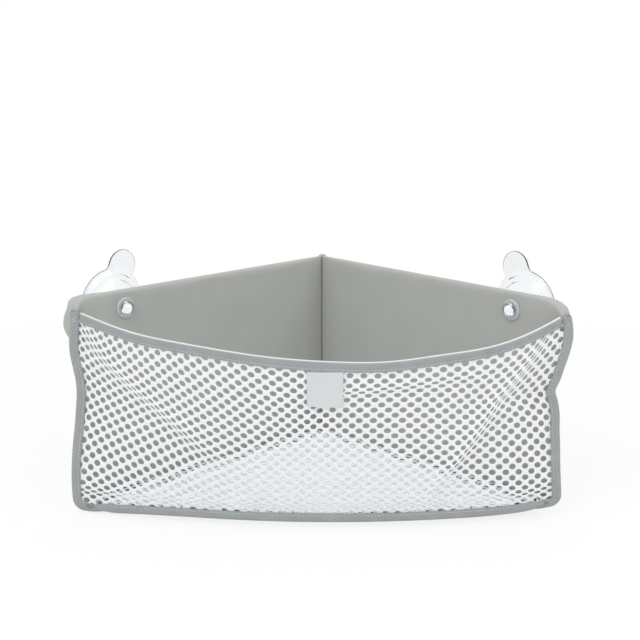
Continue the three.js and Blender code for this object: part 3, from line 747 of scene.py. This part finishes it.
def barTack(path, slot, at, depth, slant):  # stitches across a tape's outer leaf, leaning along it by slant
    at, depth, slant = np.broadcast_arrays(at, depth, slant)
    reach = pathReach(path["fold"])
    ahead = unit(resample(reach, np.gradient(path["fold"], axis=0), at))
    inward = resample(reach, path["inward"], at)
    out = resample(reach, path["across"], at)
    centre = resample(reach, path["fold"], at) + inward * depth[:, None]
    centre = centre + out * (slot / 2 + bag["tapeThickness"] + thread["tackProud"])
    return centre, unit(inward + ahead * slant[:, None]), out


def addThread(name, rows, length=thread["length"], material="seam_thread"):
    # A stitch is a short rod of thread that arches out of the cloth and dips back in at both ends
    centre, heading, face = (join(*part)[:, None, None] for part in zip(*rows))
    aside = np.cross(heading, face)
    rings, sides = len(thread["along"]), thread["sides"]
    turn = np.arange(sides) * math.tau / sides
    radius = thread["radius"] * np.array(thread["girth"])[:, None]
    ahead = np.broadcast_to((np.array(thread["along"]) * length)[:, None], (rings, sides))
    out = np.array(thread["arch"])[:, None] + radius * np.cos(turn)
    sideways = radius * np.sin(turn)
    rods = centre + heading * ahead[..., None] + face * out[..., None] + aside * sideways[..., None]
    quads = loftQuads(rings, sides) + (np.arange(len(centre)) * rings * sides)[:, None, None]
    uv = np.tile(columns(ahead, turn * thread["radius"]), (len(centre), 1, 1))
    return addPiece(name, rods, quads.reshape(-1, 4), uv, material)


def sewTape(stem, path, slot, ends, spread=1.0, narrow=1.0, bow=tape["bow"], raised=0.0):
    # Point = fold + across p + inward q, pinched between stitches, spread or narrowed where asked. A row of
    # stitches runs beside the lips of each leaf
    ring = tapeRing(slot)
    stations = len(path["fold"])
    reach = pathReach(path["fold"])
    p = np.broadcast_to(ring[:, 0], (stations, len(ring))).copy()
    q = np.broadcast_to(ring[:, 1], p.shape)
    width = np.clip(q / tapeWidth, 0, 1)
    pinch = (0.5 + 0.5 * np.cos(math.tau * reach / thread["pitch"]))[:, None]
    pinch = tape["pucker"] * pinch * hump((q - tapeWidth + tape["stitchInset"]) / tape["puckerWidth"])
    roll = tape["roll"] * np.sin(reach / tape["rollReach"])[:, None] * smooth(width)
    p += np.sign(p) * (tape["puff"] * np.sin(math.pi * width) - pinch) + roll
    p += np.where(p > 0, bow * np.sin(math.pi * width ** tape["bowPower"]), 0)
    p = p * np.broadcast_to(spread, stations)[:, None]
    q = q * np.broadcast_to(narrow, stations)[:, None]
    fold, across, inward = (path[key][:, None] for key in ("fold", "across", "inward"))
    points = fold + across * p[:, :, None] + inward * q[:, :, None]
    wide = pathReach(ring[: len(ring) // 2])
    uv = columns(reach[:, None], thereAndBack(wide) - wide[-1] / 2)  # 0 along the fold
    quads = loftQuads(*p.shape)
    piece = addPiece(stem + "_tape", points, quads, uv, "binding_tape", stem + "_binding")
    rows = [stitchRow(path, slot + raised, 1, *ends), stitchRow(path, slot, -1, *ends)]
    addThread(stem + "_stitches", rows)


def frontLine(xi, bulge, z):  # plan line of the net's front at one level, and the way out of the bag
    points = columns(xi * (netSpan - seamIn(z)), netLine - bulge * (1 - xi**2), z)
    tangent = np.gradient(points, axis=0)
    return points, unit(columns(tangent[:, 1], -tangent[:, 0], 0 * xi))


rim = dict(inset=1.5, stitchEnds=(4, 4))
xi = np.linspace(-1, 1, tape["samples"]) * (1 - rim["inset"] / halfSpan)
rimLine, rimOut = frontLine(xi, bag["rimBulge"], rimHeight(xi))
sewTape("front_rim", evenly(rimLine, rimOut, [0, 0, -1]), rimSlot, rim["stitchEnds"])

# Front base tape. Pairs hold its left and its right end, which lie over the tails of the corner tapes
base = dict(
    short=(6, 0),  # the ends stop this much short of a corner tape's lips
    lift=(2.5, 3.6),  # they rise over the tails, the right one further
    liftReach=9, spread=(0.62, 0.8), hold=(2, 8), fade=12, stitchEnds=(12, 14), hemSpread=(1.6, 1.8),
    hemSlant=(-0.5, -0.9), hemInset=0.6, hemDepths=(2.2, 6.2),
)
baseEnds = 1 - (tapeWidth + np.array(base["short"])) / halfSpan
xi = np.linspace(-baseEnds[0], baseEnds[1], tape["samples"])
baseLine, baseOut = frontLine(xi, bag["baseBulge"], 0 * xi)
fromEnd = np.minimum(xi - xi[0], xi[-1] - xi) * halfSpan
baseLine[:, 2] += np.where(xi < 0, *base["lift"]) * hump(fromEnd / base["liftReach"])
basePath = evenly(baseLine - baseOut * (netThickness + clearance) / 2, baseOut, [0, 0, 1])
baseReach = pathReach(basePath["fold"])
fromEnd = np.minimum(baseReach, baseReach[-1] - baseReach)
onLeft = baseReach < baseReach[-1] / 2
atEnd = 1 - ramp(fromEnd, np.where(onLeft, *base["hold"]), base["fade"])
baseSpread = 1 + np.where(onLeft, *base["spread"]) * atEnd
baseNarrow = 1 - basePath["fold"][:, 2] / tapeWidth
sewTape("front_base", basePath, frontBaseSlot, base["stitchEnds"], baseSpread, baseNarrow)
# dark hem stitches at both ends of the base tape: a painted shadow line where each end stands over a corner
# tape's tail
hemAt = (base["hemInset"], baseReach[-1] - base["hemInset"])
hems = [barTack(basePath, frontBaseSlot * spread, at, base["hemDepths"], slant)
        for spread, at, slant in zip(base["hemSpread"], hemAt, base["hemSlant"])]
addThread("front_base_hem_shadows", hems, thread["tackLength"], "tack_thread_painted_shade")

# Front corner tapes, with a hemmed head and a tail that lies in the base tape
corner = dict(
    samples=(120, 24, 10),  # down the corner, round the turn and along the tail
    tail=20, tailFlat=6, tailLift=1.2, tailFollow=6, tailNarrow=0.82, narrowReach=9,
    tailTaper=0.72, taperFrom=1.3, hemLength=5, hemSpread=0.16, hemEdge=1.5,
    bow=dict(left=0.7, right=1.5),  # swell of the outer leaves
    stitchEnds=(7, 30),
    stitchRaise=0.9,  # shares of the swell under the stitches and the tacks
    tackRaise=1.8, tacks=np.arange(5), tackPitch=1.5, headAt=2.0, headDepth=4.6, headSlant=0.6,
    tailAt=20, tailDepth=5.8, tailTackLength=3.45,
    tailUneven=((1.3, 2.4, 0, 0),), tailSlant=((2.4, 1.7, 0, 1),),  # rows for waver
)


def cornerPath():
    # Down the corner with the fold outwards, then a quarter turn under the bag and a tail in the base tape
    radius = bag["cornerTurn"]
    dropCount, turnCount, tailCount = corner["samples"]
    drop = np.linspace(bag["rimTop"], radius, dropCount)
    turn = np.linspace(0, math.pi / 2, turnCount)[1:]
    tail = np.linspace(0, corner["tail"], tailCount)[1:]
    centre = radius - foldX
    x = join(seamIn(drop) - foldX, centre - radius * np.cos(turn), centre + tail)
    z = join(drop, radius - radius * np.sin(turn), 0 * tail)
    bend = join(0 * drop, turn, 0 * tail + math.pi / 2)
    sunk = ramp(x, centre + corner["tailFlat"], corner["tail"] - corner["tailFlat"])
    follow = bag["baseBulge"] * np.clip(1 - (x / netSpan) ** 2, 0, 1)
    y = seamY - follow * ramp(x, -halfSpan, corner["tailFollow"])
    fold = columns(x, y, z + corner["tailLift"] * sunk)
    return evenly(fold, [0, -1, 0], columns(np.cos(bend), 0 * bend, np.sin(bend)))


leftCorner = cornerPath()
cornerReach = pathReach(leftCorner["fold"])
toTail = cornerReach[-1] - cornerReach
hem = smooth((corner["hemLength"] - cornerReach) / corner["hemEdge"] + 0.5)
cornerSpread = 1 - (1 - corner["tailTaper"]) * smooth(corner["taperFrom"] - toTail / corner["tail"])
cornerSpread = cornerSpread + corner["hemSpread"] * hem
cornerNarrow = 1 - (1 - corner["tailNarrow"]) * smooth((corner["tail"] - toTail) / corner["narrowReach"])
count = corner["tacks"]
headAt = corner["headAt"] + count * corner["tackPitch"]
headSlant = np.where(count % 2, corner["headSlant"], -corner["headSlant"])
tailAt = cornerReach[-1] - corner["tailAt"] + count * corner["tackPitch"]
tailDepth = corner["tailDepth"] + waver(count, 0, corner["tailUneven"])
tailSlant = waver(count, 0, corner["tailSlant"])
for side, path in (("left", leftCorner), ("right", mirrored(leftCorner))):
    bow = corner["bow"][side]
    sewTape(side + "_corner", path, wallSlot, corner["stitchEnds"], cornerSpread, cornerNarrow, bow,
            corner["stitchRaise"] * bow)
    swollen = wallSlot + corner["tackRaise"] * bow
    headTack = barTack(path, swollen, headAt, corner["headDepth"], headSlant)
    addThread(side + "_corner_tacks", [headTack], thread["tackLength"])
    # dark tail tacks: real tack thread, drawn dark as painted shade in the puckers
    tailTack = barTack(path, swollen, tailAt, tailDepth, tailSlant)
    addThread(side + "_tail_tacks", [tailTack], corner["tailTackLength"], "tack_thread_painted_shade")

# Plain tapes up the rear corner and along the feet of the walls
plainEnds = (3, 3)  # of their rows of stitches
rearZ = np.linspace(0, cadBox("rear_corner_binding")[1][2], tape["plainSamples"])
rearFold = columns(0 * rearZ, 0 * rearZ + rearLip + tapeWidth, rearZ)
sewTape("rear_corner", evenly(rearFold, [1, 0, 0], [0, -1, 0]), rearSlot, plainEnds)
footRun = np.linspace(wall["baseTapeInset"], straightRun - wall["baseTapeInset"], tape["plainSamples"])
footLine = onWall(footRun, 0 * footRun - (netThickness + clearance) / 2)
leftFoot = evenly(join(footLine, 0 * footRun[:, None], axis=1), [*outward, 0], [0, 0, 1])
for side, path in (("left", leftFoot), ("right", mirrored(leftFoot))):
    sewTape(side + "_base", path, wallSlot, plainEnds)
print("tapes and stitches made")

# Base net: flat above the tapes, its edge turned down into them
baseNet = dict(pitch=10.8, rowPitch=10.4, holeWide=5.5, holeTall=5.2, cornerClear=9, halfDepth=180,
               clothShare=0.31)  # of its box, which it fills as a triangle with holes


def baseSeams(x, y):
    # Distance to each of the three seams, and the way in from it
    slope = 2 * bag["baseBulge"] * x / halfSpan**2
    steep = np.hypot(1, slope)
    frontY = netLine - bag["baseBulge"] * (1 - (x / halfSpan) ** 2)
    distance = [(y - frontY) / steep - (netThickness + clearance)]
    inward = [columns(-slope / steep, 1 / steep)]
    for way in (1, -1):
        toWall = (way * x - frontBend[0] - (y - frontBend[1])) / math.sqrt(2)
        distance.append(toWall - (edgeHalf + clearance + netThickness / 2))
        inward.append(np.broadcast_to(-outward * [way, 1], (len(x), 2)))
    return np.stack(distance), np.stack(inward)


def basePlace(x, y):  # past the nearest seam the cloth turns straight down
    distance, inward = baseSeams(x, y)
    past = np.maximum(-distance.min(0), 0)
    push = inward[distance.argmin(0), np.arange(len(x))] * past[:, None]
    level = tapeWidth + clearance + netThickness / 2
    return columns(x + push[:, 0], y + push[:, 1], level - tucked(past))


centres = diamondCentres(baseNet, halfSpan, -baseNet["halfDepth"], baseNet["halfDepth"])
gaps = np.sort(baseSeams(*centres.T)[0], axis=0)
netBase = meshCells("base_net_mesh", centres, gaps, basePlace, baseNet, "base_net")

# Label: a woven strip that hangs from the rim tape in front of the net, its lower edge lifting a little
labelBox = cadBox("front_label")
label = dict(
    wide=labelBox[1][0] - labelBox[0][0], middle=(labelBox[0][0] + labelBox[1][0]) / 2, long=30.9,
    thickness=0.8, gap=0.6, lift=0.3, curl=1.6, ripple=0.25, ripples=1.5,
    pointsAcross=13, pointsDown=25, netPoints=49,
)
labelXi = label["middle"] / halfSpan
labelRim = rimHeight(labelXi)
level = labelRim - tapeWidth - label["gap"] - np.linspace(0, label["long"], label["netPoints"])
v = (level - netLow) / (labelRim - 2 * netLow)
hang = columns(netLine - netBulge(v) * (1 - labelXi**2), level)
drop = np.linspace(0, label["long"], label["pointsDown"])  # along the cloth
share = drop / label["long"]
hang = resample(pathReach(hang), hang, drop)
heading = unit(np.gradient(hang, axis=0))
away = columns(heading[:, 1], -heading[:, 0])
hang = hang + away * (netThickness / 2 + label["lift"] + label["curl"] * share**3)[:, None]
breadth = np.linspace(-0.5, 0.5, label["pointsAcross"])
across = thereAndBack(breadth) * label["wide"]
depth = join(0 * breadth + label["thickness"], 0 * breadth)
ripple = thereAndBack(label["ripple"] * np.cos(math.tau * breadth * label["ripples"])) * share[:, None]
yz = hang[:, None] + away[:, None] * (depth + ripple)[:, :, None]
x = np.broadcast_to(label["middle"] + across, yz.shape[:2])
points = join(x[..., None], yz, axis=-1)
tag = addPiece("woven_label", points, loftQuads(*x.shape), columns(across, drop[:, None]), "woven_label",
               "front_label", "label")
print("label made")

# Eyelets and suction cups, turned about the joint that carries each cup
eyelet = dict(radius=9.5, plate=1.5, edge=0.9, bore=4.5, boreEdge=0.4, sleeve=5.5, hole=5.8, clear=0.3,
              edgePoints=6, cutterSides=48, cutterDepth=40)
cup = dict(
    radius=33, lip=4, lipEase=1, edge=0.45, depth=8.4, skin=2.2, shoulder=1.7, hub=9.5, neck=4.2,
    knob=6.6, knobLength=4, knobRound=1.5, knobBack=0.8, dome=1.2,
    tabReach=18, tabWidth=28, tabThickness=2, tabDrop=0.3, tabBlend=5, lean=19,
    ridgeRadius=23.8, ridgeWidth=1.1, ridge=0.9, segments=192, mapRadius=10, capRings=6, bendRings=5,
    backRings=(0.08, 0.9, 16),  # shares of the way out or in, from and to, and their count
    lipRings=(0.2, 1, 7), rimRings=(1, 0, 6), faceRings=(0.97, 0, 18),
)
plateInside = wall["padHalf"] + eyelet["clear"]
plateOutside = plateInside + eyelet["plate"]
spin = np.arange(cup["segments"]) * math.tau / cup["segments"]


def turned(name, profile, joint, material, node, body="bag"):
    # Point = centre + out h + r (up cos a + rear sin a), the profile's r and h carried round the angle a
    r, h = (np.broadcast_to(part, (len(part), len(spin))) for part in profile)
    centre = np.array(joint["pos_m"]) / mm
    out = np.array(joint["axis"])
    up = np.array([0.0, 0.0, 1.0])
    rear = np.cross(up, out) * np.sign(out[0])  # along the wall, towards the room corner
    ring = up * np.cos(spin)[:, None] + rear * np.sin(spin)[:, None]
    points = centre + ring * r[:, :, None] + out * h[:, :, None]
    walk = pathReach(columns(r[:, 0], h[:, 0]))
    uv = columns(spin * cup["mapRadius"], walk[:, None])
    addPiece(name, points, ringQuads(*r.shape), uv, material, node, body)


def evenRings(points):  # radius and height of rings that are the same at every angle
    return np.array(points, float).T[:, :, None]


def domedPlate(inner):  # half of a plate's outline, from its bore to its rounded outer edge and back
    outer, edge = eyelet["radius"], eyelet["edge"]
    bend = np.linspace(0, math.pi / 2, eyelet["edgePoints"])
    rounded = columns(outer - edge + edge * np.sin(bend), plateOutside + edge * (np.cos(bend) - 1))
    return [[inner, plateOutside], *rounded.tolist(), [outer, plateInside], [inner, plateInside]]


def tabOutline():  # reach of the cup's edge at each angle: a round lip with a blunt tab, corners eased
    away = np.abs((spin - math.radians(cup["lean"]) + math.pi) % math.tau - math.pi)
    blunt = cup["tabWidth"] / 2
    tip = cup["radius"] + cup["tabReach"] - blunt
    arc = tip * np.cos(away) + np.sqrt(np.maximum(blunt**2 - (tip * np.sin(away)) ** 2, 0))
    flank = np.maximum(blunt / np.maximum(np.sin(away), 1e-6), cup["radius"])
    reach = np.where(away < math.pi / 2, flank, cup["radius"])
    reach = np.where(away < math.atan2(blunt, tip), arc, reach)
    return (np.roll(reach, 1) + 2 * reach + np.roll(reach, -1)) / 4


def cupProfile():
    # Radius and height rings from the knob, through the neck, out over the bell's back to the lip and tab,
    # round the edge and back over the bell's face to its hollow
    reach = tabOutline()
    tab = ramp(reach, cup["radius"], cup["tabBlend"])
    knobFace = -plateOutside - eyelet["clear"]
    shoulder = plateOutside + eyelet["clear"]
    hollow = shoulder + cup["shoulder"] * cup["skin"]
    lipPlane = hollow + cup["depth"]
    lipBack = lipPlane - mix(cup["skin"] / 2, cup["tabThickness"] + cup["tabDrop"], tab)
    lipFace = lipPlane - cup["tabDrop"] * tab
    inner = cup["radius"] - cup["lip"]

    def bell(share, skin):  # hollow + depth share^2, with a bead standing out of the back or the face
        r = mix(cup["hub"], inner, share)
        bead = cup["ridge"] * hump((r - cup["ridgeRadius"]) / cup["ridgeWidth"])
        return columns(r, hollow + cup["depth"] * share**2 - skin + (-bead if skin else bead))

    rounding, back = cup["knobRound"], cup["knobBack"]
    knobEnd = knobFace - cup["knobLength"]
    flat = cup["knob"] - rounding
    r = np.linspace(0, flat, cup["capRings"])[:-1]
    bend = np.linspace(0, math.pi / 2, cup["bendRings"])
    knob = join(
        columns(r, knobEnd - cup["dome"] * (1 - (r / flat) ** 2)),
        columns(flat + rounding * np.sin(bend), knobEnd + rounding * (1 - np.cos(bend))),
        columns(cup["knob"] - back * (1 - np.cos(bend)), knobFace - back + back * np.sin(bend)),
        [[cup["neck"], knobFace], [cup["neck"], shoulder], [cup["hub"], shoulder]],
        bell(np.linspace(*cup["backRings"]), cup["skin"]),
    )
    startR, startH = knob[-1]
    outR = mix(startR, reach - cup["edge"], np.linspace(*cup["lipRings"])[:, None])
    climb = np.minimum((outR - startR) / (cup["radius"] - cup["edge"] - startR), 1)
    inR = mix(inner, reach - cup["edge"], np.linspace(*cup["rimRings"])[:, None])
    inH = mix(lipPlane, lipFace, ramp(inR, cup["radius"] - cup["lipEase"], 2 * cup["lipEase"]))
    face = join(bell(np.linspace(*cup["faceRings"]), 0), [[0, hollow]])
    lip = np.stack([
        join(outR, [reach], inR),
        join(mix(startH, lipBack, climb), [(lipBack + lipFace) / 2], inH),
    ])
    knob, face = (np.broadcast_to(evenRings(part), (2, len(part), len(spin))) for part in (knob, face))
    return join(knob, lip, face, axis=1)


def cutEyeletHole(piece, joint):  # bore through both faces of a padded wall
    centre, axis = Vector(joint["pos_m"]), Vector(joint["axis"])
    mesh = bpy.data.meshes.new("hole_cutter")
    radius = eyelet["hole"] * mm
    work = bmesh.new()
    bmesh.ops.create_cone(work, cap_ends=True, segments=eyelet["cutterSides"], radius1=radius,
                          radius2=radius, depth=eyelet["cutterDepth"] * mm)
    bmesh.ops.transform(work, matrix=axis.to_track_quat("Z", "Y").to_matrix().to_4x4(), verts=work.verts)
    bmesh.ops.translate(work, vec=centre, verts=work.verts)
    work.to_mesh(mesh)
    work.free()
    cutter = bpy.data.objects.new("hole_cutter", mesh)
    scene.collection.objects.link(cutter)
    hole = piece.modifiers.new("eyelet_hole", "BOOLEAN")
    hole.object = cutter
    hole.operation = "DIFFERENCE"
    hole.solver = "EXACT"
    bored = bpy.data.meshes.new_from_object(piece.evaluated_get(bpy.context.evaluated_depsgraph_get()))
    piece.modifiers.clear()
    piece.data = bored
    bpy.data.objects.remove(cutter)


bore, sleeve, boreEdge = eyelet["bore"], eyelet["sleeve"], eyelet["boreEdge"]
innerPlate = [[bore, plateOutside], [sleeve, plateOutside], [sleeve, -plateInside]]
innerPlate += [[r, -h] for r, h in domedPlate(bore)[-2:0:-1]]
innerPlate += [[bore + boreEdge, -plateOutside], [bore, -plateOutside + boreEdge], innerPlate[0]]
outerPlate = domedPlate(eyelet["hole"])
outerPlate.append(outerPlate[0])
cupRings = cupProfile()
for side, wallPiece in (("left", leftWall), ("right", rightWall)):
    joint = cupJoints[side + "_cup"]
    cutEyeletHole(wallPiece, joint)
    turned(side + "_eyelet_ring", evenRings(innerPlate), joint, "eyelet_plastic", side + "_eyelet")
    turned(side + "_eyelet_back_ring", evenRings(outerPlate), joint, "eyelet_plastic",
           side + "_eyelet_washer")
    turned(side + "_clear_cup", cupRings, joint, "clear_vinyl", side + "_suction_cup", side + "_cup")
print("eyelets and suction cups made")

# Stage: pale floor, soft light and the photograph's viewpoint
stage = dict(floorSize=8.0, floorLevel=-5.3, floorColour="#f4f4f4", shown=0.8, shadowReach=(0.35, 0.9),
             worldLevel=0.62)
white = (1, 1, 1, 1)


def seenByEye(add):  # 1 for what is seen directly, in a reflection or through clear plastic
    seen = 0.0
    for ray in ("Is Camera Ray", "Is Glossy Ray", "Is Transmission Ray"):
        seen = add("Math", {0: seen, 1: add("LightPath", out=ray)}, operation="MAXIMUM")
    return seen


def paleFloor():
    # Painted board: to the eye it is nearly white and keeps a faint shadow
    material, add, _, place = newMaterial("pale_floor")
    away = add("VectorMath", {0: place}, "Value", operation="LENGTH")
    near, far = stage["shadowReach"]
    glowing = add("MapRange", {0: away, 1: near, 2: far, 3: stage["shown"], 4: 1.0})
    share = add("Math", {0: seenByEye(add), 1: glowing}, operation="MULTIPLY")
    matt = add("BsdfDiffuse", {"Color": linear(stage["floorColour"])})
    glow = add("Emission", {"Color": white, "Strength": 1.0})
    both = add("MixShader", {0: share, 1: matt, 2: glow})
    add("OutputMaterial", {"Surface": both})
    return material


def whiteSurround():
    world = bpy.data.worlds.new("white_surround")
    add = nodesOf(world)
    level = add("MapRange", {0: seenByEye(add), 3: stage["worldLevel"], 4: 1.0})
    sky = add("Background", {"Color": white, "Strength": level})
    add("OutputWorld", {"Surface": sky})
    return world


floorMesh = bpy.data.meshes.new("floor")
floorCorners = np.array([[-1, -1], [1, -1], [1, 1], [-1, 1]]) * stage["floorSize"] / 2
floorMesh.from_pydata([(x, y, stage["floorLevel"] * mm) for x, y in floorCorners], [], [(0, 1, 2, 3)])
floorMesh.materials.append(paleFloor())
floor = bpy.data.objects.new("floor", floorMesh)
scene.collection.objects.link(floor)
scene.world = whiteSurround()

softboxes = (
    dict(name="key_softbox", place=(-0.9, -1.3, 1.7), size=1.4, power=16),
    dict(name="fill_softbox", place=(1.3, -1.0, 1.1), size=1.4, power=7),
    dict(name="top_softbox", place=(0.1, 0.5, 1.9), size=1.6, power=9),
)
lampAim = Vector((0, 0, 0.1))
for box in softboxes:
    lamp = bpy.data.lights.new(box["name"], "AREA")
    lamp.shape = "DISK"
    lamp.size = box["size"]
    lamp.energy = box["power"]
    holder = bpy.data.objects.new(box["name"], lamp)
    holder.location = box["place"]
    holder.rotation_euler = (lampAim - holder.location).to_track_quat("-Z", "Y").to_euler()
    scene.collection.objects.link(holder)

view = dict(azimuth=1.38, elevation=13.13, distance=1124.4, target=(1.53, 60, 159.5), focal=1223.4,
            picture=640)
turn, tilt = math.radians(view["azimuth"]), math.radians(view["elevation"])
back = Vector((math.sin(turn) * math.cos(tilt), -math.cos(turn) * math.cos(tilt), math.sin(tilt)))
aim = Vector((view["target"][0], view["target"][1] + seamY, view["target"][2])) * mm
cameraData = bpy.data.cameras.new("camera")
cameraData.sensor_width = 36
cameraData.lens = cameraData.sensor_width * view["focal"] / view["picture"]
camera = bpy.data.objects.new("camera", cameraData)
camera.location = aim + back * view["distance"] * mm
camera.rotation_euler = (-back).to_track_quat("-Z", "Y").to_euler()
scene.collection.objects.link(camera)
scene.camera = camera
scene.view_settings.view_transform = "Standard"
print("stage made")
